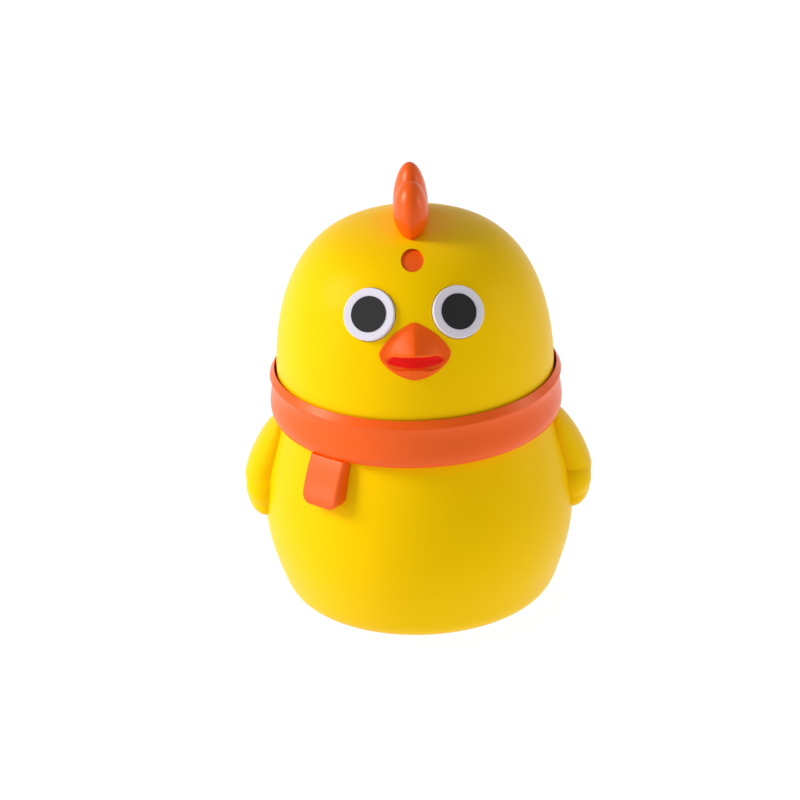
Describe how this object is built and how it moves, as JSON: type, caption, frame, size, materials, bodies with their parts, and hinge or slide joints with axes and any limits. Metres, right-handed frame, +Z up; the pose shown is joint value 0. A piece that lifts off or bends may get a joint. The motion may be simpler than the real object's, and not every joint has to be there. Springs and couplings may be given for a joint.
{
  "type": "wind-up hopping chick",
  "caption": "Round wind-up hopping toy chick: the head turns to wind a spring movement, which drives a hop foot hidden in the flat base.",
  "frame": {"origin": "middle of the base, on the surface that the chick stands on", "axes": "+Z up; the chick faces -Y, so +X is its left side and the right-hand side seen from the front"},
  "size_m": [0.075, 0.0662, 0.1],
  "materials": {
    "yellow_shell": "satin moulded yellow plastic",
    "orange_trim": "satin moulded orange plastic",
    "eye_white": "smooth white plastic",
    "eye_black": "matte black plastic",
    "inner_plastic": "natural white moulded nylon",
    "plate_brass": "stamped brass plate",
    "gear_brass": "machined brass",
    "steel": "bright steel",
    "spring_steel": "blued spring steel",
    "sole_rubber": "matte moulded rubber"
  },
  "bodies": {
    "body": {"body_shell": "yellow_shell", "base_plate": "yellow_shell", "base_screws": "steel", "wing_left": "yellow_shell", "wing_right": "yellow_shell", "scarf_collar": "orange_trim", "scarf_tail": "orange_trim", "neck_deck": "inner_plastic", "lower_plate": "plate_brass", "middle_plate": "plate_brass", "upper_plate": "plate_brass", "lower_pillars": "gear_brass", "upper_pillars": "gear_brass", "frame_screws_top": "steel", "frame_screws_bottom": "steel", "movement_screws": "steel", "click_stud": "steel", "click_spring": "spring_steel"},
    "head": {"head_shell": "yellow_shell", "head_plate": "inner_plastic", "head_screws": "steel", "hub_clip": "spring_steel", "comb": "orange_trim", "comb_plate": "orange_trim", "beak": "orange_trim", "eye_white_left": "eye_white", "eye_white_right": "eye_white", "pupil_left": "eye_black", "pupil_right": "eye_black", "winding_arbor": "steel", "ratchet_wheel": "steel"},
    "barrel": {"barrel": "gear_brass", "barrel_cover": "gear_brass", "mainspring": "spring_steel"},
    "second": {"second_arbor": "steel", "second_pinion": "steel", "second_wheel": "gear_brass"},
    "cam": {"cam_arbor": "steel", "cam_pinion": "steel", "cam_wheel": "gear_brass", "hop_cam": "inner_plastic"},
    "fly": {"fly_arbor": "steel", "fly_pinion": "steel", "fly_fan": "inner_plastic"},
    "foot": {"hop_foot": "inner_plastic", "foot_sole": "sole_rubber", "follower_pin": "steel", "guide_rods": "steel", "kicker_springs": "spring_steel"},
    "click": {"click": "steel"}
  },
  "joints": [
    {"name": "head_wind", "type": "hinge", "parent": "body", "child": "head", "pos_m": [0, 0, 0.052], "axis": [0, 0, 1], "range_deg": [-1260, 0]},
    {"name": "barrel_spin", "type": "hinge", "parent": "body", "child": "barrel", "pos_m": [0, 0, 0.028], "axis": [0, 0, 1], "range_deg": [0, 20.62]},
    {"name": "second_spin", "type": "hinge", "parent": "body", "child": "second", "pos_m": [0.0125, 0.0083, 0.02], "axis": [0, 0, 1], "range_deg": [-83, 0.5]},
    {"name": "cam_spin", "type": "hinge", "parent": "body", "child": "cam", "pos_m": [0, 0.008, 0.018], "axis": [0, 0, 1], "range_deg": [-0.5, 330.5]},
    {"name": "fly_spin", "type": "hinge", "parent": "body", "child": "fly", "pos_m": [0, 0.01925, 0.02], "axis": [0, 0, 1], "range_deg": [-1321, 1]},
    {"name": "foot_hop", "type": "slide", "parent": "body", "child": "foot", "axis": [0, 0, 1], "range_m": [-0.00401, 0.00001], "deforming": ["kicker_springs"]},
    {"name": "click_lift", "type": "hinge", "parent": "body", "child": "click", "pos_m": [0.0102, 0.0036, 0.0367], "axis": [0, 0, 1], "range_deg": [-4.5, 0]}
  ],
  "couplings": [
    {"joint": "second_spin", "follows": "barrel_spin", "ratio": -4},
    {"joint": "cam_spin", "follows": "barrel_spin", "ratio": 16},
    {"joint": "fly_spin", "follows": "barrel_spin", "ratio": -64},
    {"joint": "foot_hop", "follows": "barrel_spin", "m_per_rad": -0.011112}
  ]
}
